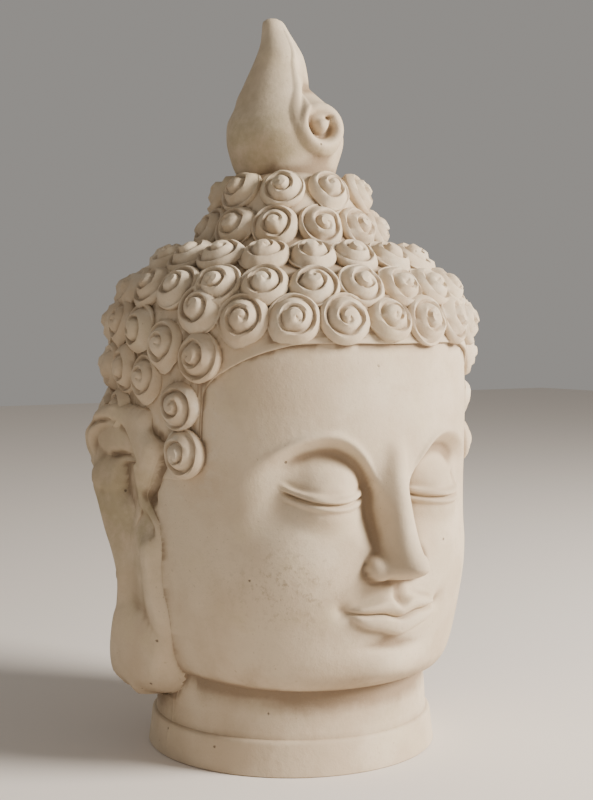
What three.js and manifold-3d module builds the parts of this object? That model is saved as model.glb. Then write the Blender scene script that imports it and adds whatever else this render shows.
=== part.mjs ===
// A Buddha's head in cast stone, cut off flat below the neck: one casting with its ears, curls and flame.
// Millimetres, +Z up, the face looks along -Y, and +X is the figure's left.
// The origin is the middle of the underside. An angle called turn runs round +Z from the face.
import * as THREE from 'three';
import { mergeVertices } from 'three/addons/utils/BufferGeometryUtils.js';
import Module from 'manifold-3d';

// ---- Driving dimensions ----
const totalHeight = 400;
const base = { radius: 79.5, bandHeight: 18, bandStep: 2 };
const neck = { radius: 73.5, height: 62 };
const face = { chin: 46, hairline: 220, halfWidth: 88, mouthHalf: 27 };
const hair = { thickness: 2.6, capRoot: 6, crown: 240 };
const curl = { radius: 12.2, rise: 10.8, root: 40, sides: 6 };
const ear = { proudBack: 15, proudFront: 6, thick: 24 };
const flame = { foot: 304, rollRadius: 13.4, rollSide: 4, rollHeight: 335.5, rollFront: -26.5 };

const shortEdges = [0.1, 0.6, 1.5];
const sliverArea = 0.02;
const flatLimit = 0.001;

// The face by thirds: hairline to brow, brow to nose base, nose base to chin. It is five eyes wide.
const third = (face.hairline - face.chin) / 3;
const brow = face.hairline - third;
const noseBase = brow - third;
const eyeLine = brow - third / 6;
const mouthLine = noseBase - third / 3;
const eyeWidth = (2 * face.halfWidth) / 5;

// ---- Curves ----
const degrees = THREE.MathUtils.degToRad;
const awayFromFace = (angle) => Math.abs(THREE.MathUtils.euclideanModulo(angle + 180, 360) - 180);
const share = (low, high, x) => THREE.MathUtils.clamp((x - low) / (high - low), 0, 1);
const ease = (low, high, x) => share(low, high, x) ** 2 * (3 - 2 * share(low, high, x));
const bell = (x, width) => Math.exp(-((x / width) ** 2));
const dome = (x, y, width, height) => Math.sqrt(Math.max(0, 1 - (x / width) ** 2 - (y / height) ** 2));

// A smooth curve through rows of numbers whose first column rises: gives the other columns at a height.
function along(rows, height) {
  let i = 0;
  while (i < rows.length - 2 && rows[i + 1][0] < height) i += 1;
  const before = rows[Math.max(i - 1, 0)];
  const low = rows[i];
  const high = rows[i + 1];
  const after = rows[Math.min(i + 2, rows.length - 1)];
  const step = high[0] - low[0];
  const t = share(low[0], high[0], height);
  return low.slice(1).map((value, k) => {
    const end = high[k + 1];
    const slopeLow = ((end - before[k + 1]) / (high[0] - before[0])) * step;
    const slopeHigh = ((after[k + 1] - value) / (after[0] - low[0])) * step;
    const rise = end - value;
    return value + slopeLow * t + (3 * rise - 2 * slopeLow - slopeHigh) * t ** 2
      + (slopeLow + slopeHigh - 2 * rise) * t ** 3;
  });
}

// ---- Solids ----
const wasm = await Module();
wasm.setup();

function solidOf(geometry) {
  geometry.deleteAttribute('normal');
  geometry.deleteAttribute('uv');
  const merged = mergeVertices(geometry, 1e-4);
  const vertProperties = new Float32Array(merged.attributes.position.array);
  const triVerts = new Uint32Array(merged.index.array);
  return new wasm.Manifold(new wasm.Mesh({ numProp: 3, vertProperties, triVerts }));
}

// A closed skin over rings of points, each ring running left round its own way up, with a pole at each end.
function skin(rings, lowPole, highPole) {
  const columns = rings[0].length;
  const points = [...rings.flat(), lowPole, highPole];
  const lowIndex = rings.length * columns;
  const faces = [];
  for (let c = 0; c < columns; c += 1) {
    const next = (c + 1) % columns;
    faces.push(lowIndex, next, c);
    for (let r = 0; r < rings.length - 1; r += 1) {
      const here = r * columns;
      const above = here + columns;
      faces.push(here + c, here + next, above + next, here + c, above + next, above + c);
    }
    const last = (rings.length - 1) * columns;
    faces.push(last + c, last + next, lowIndex + 1);
  }
  const geometry = new THREE.BufferGeometry();
  const flat = points.flatMap((p) => [p.x, p.y, p.z]);
  geometry.setAttribute('position', new THREE.Float32BufferAttribute(flat, 3));
  geometry.setIndex(faces);
  return solidOf(geometry);
}

const spaced = (from, to, count) => Array.from({ length: count }, (_, i) => from + ((to - from) * i) / count);

// ---- Head: what the bare skull measures in front, at the side and behind, by height ----
const skullRows = [
  [44, 78, 69, 70], [48, 86, 75, 75], [56, 91, 80, 78], [72, 93, 85, 80], [95, 94, 88.5, 85],
  [125, 95, 90, 92], [160, 96, 91, 100], [200, 95.5, 91.5, 104], [225, 93.5, 90.5, 102],
  [238, 89, 87.5, 97], [248, 82.5, 82, 89], [256, 74, 74.5, 79], [263, 63.5, 64, 66.5],
  [269, 51.5, 51.5, 51.5], [276, 44.5, 44.5, 44.5], [290, 38.5, 38.5, 38.5], [300, 33.5, 33.5, 33.5],
  [308, 26, 26, 26], [313, 15, 15, 15]];
const squareness = 2.15;

function skullReach(turn, height) {
  const [front, side, back] = along(skullRows, height);
  const depth = Math.cos(turn) > 0 ? front : back;
  const sum = Math.abs(Math.sin(turn) / side) ** squareness + Math.abs(Math.cos(turn) / depth) ** squareness;
  return sum ** (-1 / squareness);
}

function skullPoint(turn, height, out) {
  const reach = skullReach(turn, height) + out;
  return new THREE.Vector3(reach * Math.sin(turn), -reach * Math.cos(turn), height);
}

// The brow's arch: highest over the pupil, falling fast to the nose and slowly to the temple.
function browLine(x) {
  const inner = 27 * (Math.max(37 - x, 0) / 29) ** 2.1;
  const outer = 15 * (Math.max(x - 37, 0) / 30) ** 1.9;
  return brow + 13 - inner - outer;
}

// Where the closed lids meet: a hanging curve, its outer corner a little above the inner one.
function lidLine(x) {
  const part = (x - eyeWidth) / (eyeWidth / 2);
  return eyeLine - 10.5 + 3 * part ** 2 + 1.4 * part;
}

// Where the lips meet: a shallow wave that rises to the corners.
const lipLine = (x) => mouthLine + 3 * (x / face.mouthHalf) ** 2 - 1.3 * bell(x, 5);

// The nose: a ridge growing from the brow to a round tip, with a wing on each side.
function noseRelief(x, height) {
  const tip = noseBase + 6.5;
  const root = brow + 10;
  const growth = 0.16 * ease(root + 6, root - 8, height) + 0.84 * share(root, tip, height) ** 1.35;
  const under = Math.sqrt(1 - share(tip, tip - 8, height) ** 2);
  const width = 6 + 5.6 * share(root, tip, height) ** 1.4;
  const ridge = 23 * growth * under * Math.exp(-(Math.abs(x / width) ** 2.4));
  const wing = 11 * dome(x - 11.5, height - tip + 0.8, 7.5, 7.6);
  return Math.max(ridge, wing);
}

// The eyes: a socket under the brow's edge, filled by the ball of the eye under lids that meet in a line.
function eyeRelief(x, height) {
  const below = browLine(x) - height;
  const reach = (1 - ease(52, 74, x)) * ease(4, 13, x);
  const socket = -7.5 * ease(0, 9, below) * (1 - ease(20, 48, below)) * reach;
  const away = Math.hypot((x - eyeWidth) / 23.5, (height - eyeLine + 6) / 19);
  const ball = 8.6 * (1 - ease(0.15, 1.12, away));
  const over = height - lidLine(x);
  const span = ease(13, 18.5, x) * (1 - ease(52, 60, x));
  const lids = 1.3 * bell(over - 3, 2) - 1.9 * bell(over, 1.6) + 0.8 * bell(over + 3.5, 2);
  return socket + ball + span * lids;
}

// The mouth: two full lips on a soft mound, over a hollow and a round chin.
function mouthRelief(x, height) {
  const taper = Math.max(0, 1 - (x / face.mouthHalf) ** 2);
  const over = height - lipLine(x);
  const upper = 3.9 * taper ** 0.7 * bell(over - 3.8, 3.4);
  const lower = 5.2 * taper ** 0.7 * bell(over + 4.4, 3.8);
  const line = -2.2 * bell(over, 1.5) * (1 - ease(24, 30, x));
  const mound = 4.4 * bell(x, 33) * bell(height - mouthLine - 3, 22);
  const hollow = -2.8 * bell(x, 18) * bell(height - mouthLine + 16, 4.8);
  const chin = 5.4 * bell(x, 18) * bell(height - face.chin - 11, 11);
  return upper + lower + line + mound + hollow + chin;
}

function faceRelief(turn, height) {
  const x = Math.abs(skullPoint(turn, height, 0).x);
  const cheek = 4 * bell(x - 47, 25) * bell(height - noseBase - 4, 27);
  const forehead = 1.5 * bell(x, 50) * bell(height - face.hairline + 30, 30);
  const fade = ease(0.15, 0.4, Math.cos(turn)) * ease(44, 54, height);
  return fade * (cheek + forehead + noseRelief(x, height) + eyeRelief(x, height) + mouthRelief(x, height));
}

// Turns that the skull and the hair share behind the temples, so that the one lies evenly over the other.
const sideTurns = [61, 80, 97, 114, 135, 158];
const backTurns = [...sideTurns, 180, ...sideTurns.slice(1).reverse().map((angle) => -angle)];

// The face's columns stand close at the nose and eyes, and its rows bend with the lids, lips and brows.
const faceTurns = [0, 3.4, 6.8, 10.4, 14.4, 18.6, 23, 27.5, 32, 37, 42.5, 48.5, 55];

function makeSkull() {
  const right = faceTurns.slice(1).reverse().map((angle) => -angle);
  const turns = [-sideTurns[0], ...right, ...faceTurns, ...backTurns].map(degrees);
  const rows = (middle, offsets) => offsets.map((offset) => middle + offset);
  const heights = [
    44, ...rows(face.chin, [0, 4, 10, 16, 22]), ...rows(mouthLine, [-11.7, -6.9, -3.2, 0, 3.6, 7.8, 13]),
    ...rows(noseBase, [0, 3.2, 7, 13, 20, 28]), ...rows(lidLine(eyeWidth), [-3.4, 0, 3, 8, 14, 20]),
    ...rows(brow, [6, 10.5, 13.5, 17, 28, 42]), face.hairline + 4];
  const rings = heights.map((height) => turns.map((turn) => {
    const front = ease(0.2, 0.5, Math.cos(turn));
    const x = Math.abs(skullPoint(turn, height, 0).x);
    const lid = lidLine(eyeWidth);
    const lids = (lidLine(THREE.MathUtils.clamp(x, 14, 62)) - lid) * bell(height - lid, 8);
    const lips = (lipLine(Math.min(x, 30)) - mouthLine) * bell(height - mouthLine, 7);
    const arch = Math.max(browLine(x) - browLine(37), -14) * bell(height - browLine(37), 14);
    const z = height + front * (lids + lips + arch);
    return skullPoint(turn, z, faceRelief(turn, z));
  }));
  return skin(rings, new THREE.Vector3(0, 0, 44), new THREE.Vector3(0, 0, face.hairline + 4));
}

// ---- Hair: a cap over the skull, level over the brow, down the temples and low behind the ears ----
const hairEdgeRows = [
  // turn from the face in degrees, and how high the hair's lower edge is there
  [0, 220], [30, 220], [39, 216.8], [44, 214], [48, 211.2], [53, 206.8], [57, 202.5], [59.6, 197],
  [60.8, 190], [61.1, 178], [61.5, 167], [62.6, 159], [65.5, 154], [70, 151.5], [80, 150], [88, 138],
  [100, 92], [108, 66], [116, 60], [150, 60], [180, 60]];
const hairEdge = (turn) => along(hairEdgeRows, awayFromFace(THREE.MathUtils.radToDeg(turn)))[0];

function makeHairCap() {
  const templeTurns = [18, 34, 44, 51, 57];
  const leftTurns = [-sideTurns[0], ...templeTurns.slice().reverse().map((angle) => -angle)];
  const turns = [...leftTurns, 0, ...templeTurns, ...backTurns].map(degrees);
  const top = skullRows[skullRows.length - 1][0];
  const ringAt = (heightAt) => turns.map((turn) => skullPoint(turn, heightAt(turn), hair.thickness));
  const sides = [0, 0.35, 0.7, 1].map((step) => ringAt(
    (turn) => THREE.MathUtils.lerp(hairEdge(turn), hair.crown, step)));
  const crown = [248, 255, 262, 269, 278, 292, 304, top].map((height) => ringAt(() => height));
  const inside = turns.map((turn) => skullPoint(turn, hairEdge(turn), -hair.capRoot));
  return skin([inside, ...sides, ...crown], new THREE.Vector3(0, 0, 200), new THREE.Vector3(0, 0, top + 1));
}

// ---- Curls: snail shells set in rings round the skull, each rising round its turn to a peak ----
function makeCurl(turn, height, size, hand) {
  const step = 0.02;
  const here = skullPoint(turn, height, 0);
  const round = skullPoint(turn + step, height, 0).sub(skullPoint(turn - step, height, 0)).normalize();
  const up = skullPoint(turn, height + 1, 0).sub(skullPoint(turn, height - 1, 0)).normalize();
  const out = new THREE.Vector3().crossVectors(round, up).normalize();
  up.crossVectors(out, round);
  const place = (angle, radius, rise) => here.clone()
    .addScaledVector(round, hand * radius * Math.cos(angle))
    .addScaledVector(up, radius * Math.sin(angle))
    .addScaledVector(out, rise);
  const order = spaced(0, 1, curl.sides);
  if (hand < 0) order.reverse();
  const rim = order.map((part) => place(
    2 * Math.PI * part, curl.radius * size * (1 - 0.12 * part), curl.rise * (0.45 + 0.35 * part)));
  return skin([rim], place(0, 0, -curl.root), place(0, 0, curl.rise));
}

// Rows of curls: how high, how many in a full ring, and the turn that one of them stands at. The lowest row
// of the crown leaves room for the curls of the temples. The rows below it run from behind one ear to behind
// the other: each gives its first turn and how many stand on a side, and some have one in the middle behind.
const crownRows = [
  { height: 299, count: 9, start: 0, size: 0.93 },
  { height: 279.5, count: 12, start: -13, size: 0.95 },
  { height: 262, count: 18, start: -4, size: 1 },
  { height: 247, count: 22, start: -9, size: 0.98 },
  { height: 231.5, count: 24, start: -2, size: 1.02, gap: [66, 115] },
];
const backRows = [
  { height: 207, first: 99, aSide: 6 }, { height: 183.5, first: 103.5, aSide: 5, middle: true },
  { height: 160, first: 111, aSide: 5 }, { height: 136.5, first: 118.5, aSide: 4, middle: true },
  { height: 113, first: 126, aSide: 4 }, { height: 90, first: 126, aSide: 3, middle: true },
  { height: 68, first: 135, aSide: 3 },
];
const templeCurls = [
  { turn: 61, height: 213.5 }, { turn: 75, height: 219 }, { turn: 89.5, height: 227 },
  { turn: 105, height: 230 }, { turn: 84, height: 202 }, { turn: 68.5, height: 189 },
  { turn: 67, height: 165 },
];

function curlPlaces() {
  const places = [];
  for (const row of crownRows) {
    for (let i = 0; i < row.count; i += 1) {
      const angle = row.start + (360 * i) / row.count;
      const away = awayFromFace(angle);
      const lifted = row.gap ? 5 * bell(away - 62, 6) : 0;
      const open = row.gap && away > row.gap[0] && away < row.gap[1];
      const fuller = 1 + 0.03 * (1 - Math.cos(degrees(away)));
      if (!open) places.push({ turn: angle, height: row.height + lifted, size: row.size * fuller });
    }
  }
  for (const side of [-1, 1]) {
    for (const spot of templeCurls) places.push({ turn: side * spot.turn, height: spot.height, size: 0.98 });
    for (const row of backRows) {
      const pitch = (180 - row.first) / (row.middle ? row.aSide : row.aSide - 0.5);
      for (let i = 0; i < row.aSide; i += 1) {
        places.push({ turn: side * (row.first + i * pitch), height: row.height, size: 1.02 });
      }
    }
  }
  for (const row of backRows) {
    if (row.middle) places.push({ turn: 180, height: row.height, size: 1.02 });
  }
  return places;
}

// ---- Neck: a round column flaring to a low band at its foot ----
function makeNeck() {
  const lip = base.radius - 2.2;
  const profile = [
    [0, 0], [base.radius, 0], [lip, base.bandHeight - 1], [lip - base.bandStep, base.bandHeight],
    [neck.radius + 0.9, 30], [neck.radius, 46], [0, neck.height]];
  return solidOf(new THREE.LatheGeometry(profile.map(([x, y]) => new THREE.Vector2(x, y)), 30)
    .rotateX(Math.PI / 2));
}

// ---- Ears: broad above and drawn out to a heavy lobe, their back edges standing off the head ----
const earRows = [
  // height, front edge, back edge, how far the front and the back stand from the middle of the head
  [31.6, 8, 20, 84, 87], [32.8, 1, 28, 84, 89.5], [35, -4, 34, 84.5, 92], [39, -8, 38, 85, 94],
  [44, -11.5, 40.5, 86, 95], [50, -14, 41, 87, 95.5], [58, -16.5, 38.5, 88, 96],
  [69, -18.5, 33.5, 89.5, 96.8], [82, -18.5, 28.5, 91, 98], [96, -17.7, 25.5, 92, 99.5],
  [108, -17.7, 28, 93, 100.5], [118, -17.7, 33, 94, 101], [127, -15, 37, 94.5, 101.5],
  [134, -9, 40, 95, 102], [141, -4, 44, 95.5, 102.5], [148, -8, 46, 96, 103], [156, -14, 49, 97, 103.5],
  [163, -18.5, 53, 97.5, 104], [170, -18.5, 53.5, 98, 104], [175, -13, 51.5, 98, 104],
  [180, -12.4, 45.5, 98, 104], [184, -12.2, 41, 97.5, 103.5], [187, -8, 37, 97, 103],
  [190, 12, 25, 93, 97]];

// Level sections: outside a face rounded off to the ear's edge and sunk by its shell, the hollow under it and
// the lobe's channel, inside a flat back sunk in the head.
function makeEar(side) {
  const outside = [0, 0.06, 0.2, 0.4, 0.6, 0.8, 0.94, 1];
  const inside = [0.9, 0.5, 0.1];
  const heights = [
    32.2, 34.5, 39, 46, 54, 64, 78, 92, 108, 118, 127, 134, 141, 148, 156, 164, 172, 180, 185, 188];
  const rings = heights.map((z) => {
    const [front, back, standFront, standBack] = along(earRows, z);
    const stand = (part) => standBack + (standFront - standBack) * part;
    const proud = (part) => ear.proudBack + (ear.proudFront - ear.proudBack) * part;
    const outer = outside.map((part) => {
      const y = back + (front - back) * part;
      const edge = Math.min(y - front, back - y, (z - 31) * 1.5, (190 - z) * 1.5);
      const fall = proud(part) * (1 - Math.sqrt(1 - (1 - share(0, 7, edge)) ** 2));
      const shell = 4.5 * dome(y - 22, z - 166, 23, 14);
      const hollow = 6 * dome(y - 11, z - 147, 10, 13);
      const channel = 5 * bell(y - 5, 8) * ease(52, 86, z) * (1 - ease(122, 140, z));
      return new THREE.Vector3(side * (stand(part) - fall - shell - hollow - channel), y, z);
    });
    const inner = inside.map((part) => new THREE.Vector3(
      side * (stand(part) - proud(part) - ear.thick), back + (front - back) * part, z));
    return [...outer, ...inner];
  });
  const ordered = side < 0 ? rings : rings.map((ring) => ring.reverse());
  const pole = (row, rim) => new THREE.Vector3(side * (row[3] - ear.proudFront), (row[1] + row[2]) / 2, rim);
  return skin(ordered, pole(earRows[0], 31.6), pole(earRows[earRows.length - 1], 190));
}

// ---- Flame: leans back to a blunt tip, bellies out below, and rolls into a spiral in front ----
const flameRows = [
  // height, how far back its middle is, radius
  [304, 4, 24], [310, 5, 26.5], [317, 6.2, 29], [327, 6.1, 31.9], [333, 6.4, 32.3], [340, 7.6, 31.2],
  [344, 10.5, 27.9], [347.5, 13.4, 24.6], [350.3, 15.6, 22.4], [353, 18, 20.5], [356.2, 17.6, 19.5],
  [359, 16.4, 18.7],
  [367, 13.2, 16.9], [378, 11, 13.2], [385, 12.5, 10.2], [392, 15.9, 7.6], [396, 17.6, 6.4],
  [398.4, 18.8, 5]];

function makeFlame() {
  const heights = [304, 317, 327, 335, 342, 348, 353, 359, 367, 378, 385, 392, 396, 398.4];
  const rings = heights.map((z) => {
    const [middle, radius] = along(flameRows, z);
    return spaced(0, 2 * Math.PI, 18).map((turn) => new THREE.Vector3(
      radius * Math.sin(turn), middle - radius * Math.cos(turn), z));
  });
  return skin(rings, new THREE.Vector3(0, 4, flame.foot - 1), new THREE.Vector3(0, 19.4, totalHeight));
}

// The ridge from the tip down the figure's right and round the roll to its middle, with the bead's radius.
const ridgeRows = [
  [2, 6, 388, 1.2], [1.2, 0, 376, 1.8], [-0.3, -1.6, 366, 2], [-2.6, -2.2, 356, 2.2], [-5.4, -8, 349.5, 2.5],
  [-8.4, -17, 343, 2.8], [-8.4, -23.5, 335.5, 3], [-4.8, -26, 328.8, 3.3], [1, -27, 325.2, 3.5],
  [7.4, -27.2, 324.8, 3.7], [12.8, -26.6, 328.4, 3.8], [15, -25.8, 334.6, 3.8], [13.2, -25.2, 341.8, 3.6],
  [8.4, -25.4, 345.6, 3.3], [3, -26, 344.6, 3], [0.6, -26.8, 340.6, 3], [2.9, -27.4, 336.6, 3.4]];

function makeRidge() {
  const path = new THREE.CatmullRomCurve3(ridgeRows.map(([x, y, z]) => new THREE.Vector3(x, y, z)));
  const last = ridgeRows.length - 1;
  const ahead = (part) => path.getTangent(part);
  const rings = spaced(0, 1, 30).concat(1).map((part) => {
    const i = Math.min(Math.floor(part * last), last - 1);
    const radius = THREE.MathUtils.lerp(ridgeRows[i][3], ridgeRows[i + 1][3], part * last - i);
    const sideways = new THREE.Vector3().crossVectors(ahead(part), new THREE.Vector3(0, -1, 0)).normalize();
    const outward = new THREE.Vector3().crossVectors(sideways, ahead(part));
    return spaced(0, 2 * Math.PI, 6).map((angle) => path.getPoint(part)
      .addScaledVector(sideways, radius * Math.cos(angle))
      .addScaledVector(outward, radius * Math.sin(angle)));
  });
  const tail = path.getPoint(0).addScaledVector(ahead(0), -1);
  const head = path.getPoint(1).addScaledVector(ahead(1), 2.5);
  return skin(rings.map((ring) => ring.reverse()), tail, head);
}

// The roll's drum, turned about a level axis: its rounded edge falls back into the flame.
function makeRoll() {
  const r = flame.rollRadius;
  const y = flame.rollFront;
  const profile = [[0, 6], [r + 1, 6], [r + 0.4, -12], [r - 0.6, y + 4], [r - 2.6, y + 0.6], [0, y]];
  return solidOf(new THREE.LatheGeometry(profile.map(([x, depth]) => new THREE.Vector2(x, -depth)), 18)
    .rotateX(Math.PI)
    .translate(flame.rollSide, 0, flame.rollHeight));
}

// ---- The casting ----
function makeCasting() {
  let casting = makeSkull().add(makeHairCap()).add(makeNeck()).add(makeEar(-1)).add(makeEar(1));
  casting = casting.add(makeFlame()).add(makeRoll()).add(makeRidge());
  for (const [i, spot] of curlPlaces().entries()) {
    const hand = i % 3 === 0 ? -1 : 1;
    casting = casting.add(makeCurl(degrees(spot.turn), spot.height, spot.size, hand));
  }
  return casting;
}

// Joining leaves slivers where pieces cross. Each edge under the limit is closed up by sliding one end on
// to the other, where no face turns over by it and no corner leaves the flat underside.
function closeShortEdges(points, faces, limit) {
  const facesAt = points.map(() => new Set());
  faces.forEach((face) => face.forEach((corner) => facesAt[corner].add(face)));
  const neighbours = (corner) => new Set([...facesAt[corner]].flat().filter((other) => other !== corner));
  const normalOf = (corners) => {
    const [a, b, c] = corners.map((corner) => points[corner]);
    return new THREE.Vector3().crossVectors(b.clone().sub(a), c.clone().sub(a));
  };
  const canSlide = (from, to) => {
    if (points[from].z < flatLimit && points[to].z > flatLimit) return false;
    const reached = neighbours(to);
    if ([...neighbours(from)].filter((corner) => reached.has(corner)).length !== 2) return false;
    return [...facesAt[from]].filter((face) => !face.includes(to)).every((face) => {
      const before = normalOf(face);
      const after = normalOf(face.map((corner) => (corner === from ? to : corner)));
      const kept = after.dot(before) > 0.8 * after.length() * before.length();
      return after.length() > sliverArea && (kept || before.length() < sliverArea);
    });
  };
  const slide = (from, to) => {
    for (const face of facesAt[from]) {
      if (face.includes(to)) {
        face.forEach((corner) => corner !== from && facesAt[corner].delete(face));
        face.gone = true;
      } else {
        face[face.indexOf(from)] = to;
        facesAt[to].add(face);
      }
    }
    facesAt[from].clear();
  };
  for (const face of [...faces, ...faces]) {
    for (let side = 0; side < 3 && !face.gone; side += 1) {
      const [from, to] = [face[side], face[(side + 1) % 3]];
      if (points[from].distanceTo(points[to]) < limit) {
        if (canSlide(from, to)) slide(from, to);
        else if (canSlide(to, from)) slide(to, from);
      }
    }
  }
  return faces.filter((face) => !face.gone);
}

function meshOf(name, solid, material) {
  const { vertProperties, triVerts } = solid.getMesh();
  const points = [];
  const corner = (i) => new THREE.Vector3().fromArray(vertProperties, i);
  for (let i = 0; i < vertProperties.length; i += 3) points.push(corner(i));
  let faces = [];
  for (let i = 0; i < triVerts.length; i += 3) faces.push([...triVerts.subarray(i, i + 3)]);
  for (const limit of shortEdges) faces = closeShortEdges(points, faces, limit);
  const corners = faces.flat().flatMap((index) => points[index].toArray());
  const geometry = mergeVertices(new THREE.BufferGeometry()
    .setAttribute('position', new THREE.Float32BufferAttribute(corners, 3)));
  geometry.computeVertexNormals();
  const mesh = new THREE.Mesh(geometry, material);
  mesh.name = name;
  return mesh;
}

const castStone = new THREE.MeshStandardMaterial({ color: 0xc8b99c, roughness: 0.85, metalness: 0 });

const group = new THREE.Group();
group.add(meshOf('buddha_head', makeCasting(), castStone));

export default group;
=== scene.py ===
import math

import bpy
import numpy as np
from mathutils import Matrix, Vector


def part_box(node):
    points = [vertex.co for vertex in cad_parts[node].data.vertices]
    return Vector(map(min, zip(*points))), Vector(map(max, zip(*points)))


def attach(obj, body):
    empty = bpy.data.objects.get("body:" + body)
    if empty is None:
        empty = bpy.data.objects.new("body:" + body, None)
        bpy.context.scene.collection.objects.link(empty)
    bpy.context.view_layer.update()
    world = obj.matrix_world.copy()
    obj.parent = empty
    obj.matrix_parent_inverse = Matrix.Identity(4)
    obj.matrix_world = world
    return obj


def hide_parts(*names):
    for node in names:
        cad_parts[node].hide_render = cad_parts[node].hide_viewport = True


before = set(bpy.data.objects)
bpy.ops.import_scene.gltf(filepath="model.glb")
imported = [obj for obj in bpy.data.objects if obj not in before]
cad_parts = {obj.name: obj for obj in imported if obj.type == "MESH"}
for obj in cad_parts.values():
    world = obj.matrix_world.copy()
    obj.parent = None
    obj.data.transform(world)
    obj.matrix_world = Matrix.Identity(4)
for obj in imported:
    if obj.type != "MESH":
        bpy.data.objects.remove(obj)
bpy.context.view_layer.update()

# A Buddha's head cast in one piece of stone. Every shape is drawn on a figure 400 units high that stands on
# z = 0 and looks along -Y; turn is the angle round it from the face, and grows towards the figure's left.
castNode = "buddha_head"
castLow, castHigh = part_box(castNode)
figureHeight = 400.0
unit = (castHigh.z - castLow.z) / figureHeight  # metres in one unit, from the frame


def share(low, high, x):
    # how far x has come from low to high, held between 0 and 1
    return np.clip((x - low) / (high - low), 0, 1)


def ease(low, high, x):
    # 0 at low, 1 at high and 3t^2 - 2t^3 between them
    t = share(low, high, x)
    return t * t * (3 - 2 * t)


def bell(x, width):
    # exp(-(x / width)^2): 1 in the middle, fading on both sides
    return np.exp(-(x / width) ** 2)


def dome(x, y, width, height):
    # a half ellipsoid of unit height over an oval: sqrt(1 - (x / width)^2 - (y / height)^2)
    return np.sqrt(np.clip(1 - (x / width) ** 2 - (y / height) ** 2, 0, 1))


def softMax(a, b, band):
    # the larger of a and b, rounded over a band: (a + b + sqrt((a - b)^2 + band^2)) / 2
    return (a + b + np.sqrt((a - b) ** 2 + band * band)) / 2


def along(rows, x):
    # a smooth curve through rows of numbers: cubic steps, with a row's slope that of its neighbours' chord
    table = np.asarray(rows, float)
    knots, values = table[:, 0], table[:, 1:]
    last = len(knots) - 1
    i = np.clip(np.searchsorted(knots, x, side="right") - 1, 0, last - 1)
    before, after = np.maximum(i - 1, 0), np.minimum(i + 2, last)
    step = (knots[i + 1] - knots[i])[..., None]
    t = share(0, 1, (x - knots[i]) / (knots[i + 1] - knots[i]))[..., None]
    rise = values[i + 1] - values[i]
    slopeLow = (values[i + 1] - values[before]) / (knots[i + 1] - knots[before])[..., None] * step
    slopeHigh = (values[after] - values[i]) / (knots[after] - knots[i])[..., None] * step
    return np.moveaxis(values[i] + slopeLow * t + (3 * rise - 2 * slopeLow - slopeHigh) * t ** 2
                       + (slopeLow + slopeHigh - 2 * rise) * t ** 3, -1, 0)


def runs(*parts):
    # joins evenly spaced runs, each (from, to, count) without its last value
    return np.concatenate([np.linspace(a, b, n, endpoint=False) for a, b, n in parts])


def unitRows(v):
    return v / np.linalg.norm(v, axis=-1, keepdims=True)


def ringFaces(rings, columns):
    # triangles between closed rings and a fan to a pole at each end; the two poles follow the rings' points
    r, c = np.meshgrid(np.arange(rings - 1), np.arange(columns), indexing="ij")
    n = (c + 1) % columns
    a, b, d, e = r * columns + c, r * columns + n, (r + 1) * columns + n, (r + 1) * columns + c
    walls = np.concatenate([np.stack([a, b, d], -1), np.stack([a, d, e], -1)]).reshape(-1, 3)
    c = np.arange(columns)
    n = (c + 1) % columns
    low, high, top = rings * columns, rings * columns + 1, (rings - 1) * columns
    return np.concatenate([walls, np.stack([np.full(columns, low), n, c], -1),
                           np.stack([np.full(columns, high), top + c, top + n], -1)])


def meshOf(name, shells):
    # one object from closed shells, each an array of rings x columns x 3 with its two poles; those that face
    # inwards are turned
    points, faces, base = [], [], 0
    for grid, lowPole, highPole in shells:
        own = np.concatenate([grid.reshape(-1, 3), [lowPole, highPole]])
        walls = ringFaces(*grid.shape[:2])
        a, b, c = own[walls[:, 0]], own[walls[:, 1]], own[walls[:, 2]]
        if np.sum(a * np.cross(b, c)) < 0:
            walls = walls[:, ::-1]
        points.append(own)
        faces.append(walls + base)
        base += len(own)
    mesh = bpy.data.meshes.new(name)
    mesh.from_pydata((np.concatenate(points) * unit).tolist(), [], np.concatenate(faces).tolist())
    mesh.update()
    made = bpy.data.objects.new(name, mesh)
    bpy.context.scene.collection.objects.link(made)
    return made


skull = dict(
    # height, and how far the skin stands in front, at the side and behind
    rows=[(44, 78, 69, 70), (48, 86, 75, 75), (56, 91, 80, 78), (72, 93, 85, 80), (95, 94, 88.5, 85),
          (125, 95, 90, 92), (160, 96, 91, 100), (200, 95.5, 91.5, 104), (225, 93.5, 90.5, 102),
          (238, 89, 87.5, 97), (248, 82.5, 82, 89), (256, 74, 74.5, 79), (263, 63.5, 64, 66.5),
          (269, 51.5, 51.5, 51.5), (276, 44.5, 44.5, 44.5), (290, 38.5, 38.5, 38.5),
          (300, 33.5, 33.5, 33.5), (308, 26, 26, 26), (313, 15, 15, 15)],
    squareness=2.15,
)

face = dict(chin=46.0, hairline=220.0, halfWidth=88.0)
face["third"] = (face["hairline"] - face["chin"]) / 3
face["brow"] = face["hairline"] - face["third"]
face["noseBase"] = face["brow"] - face["third"]
face["eye"] = face["brow"] - face["third"] / 6
face["mouth"] = face["noseBase"] - face["third"] / 3
face["eyeWidth"] = 2 * face["halfWidth"] / 5


def skullPoint(turn, height, out=0.0):
    # superellipse sections: the skin lies at 1 / (|sin / side|^n + |cos / depth|^n)^(1 / n) from the axis
    front, side, back = along(skull["rows"], height)
    n = skull["squareness"]
    depth = np.where(np.cos(turn) > 0, front, back)
    reach = (np.abs(np.sin(turn) / side) ** n + np.abs(np.cos(turn) / depth) ** n) ** (-1 / n) + out
    return np.stack([reach * np.sin(turn), -reach * np.cos(turn), height + 0 * turn], -1)


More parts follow.
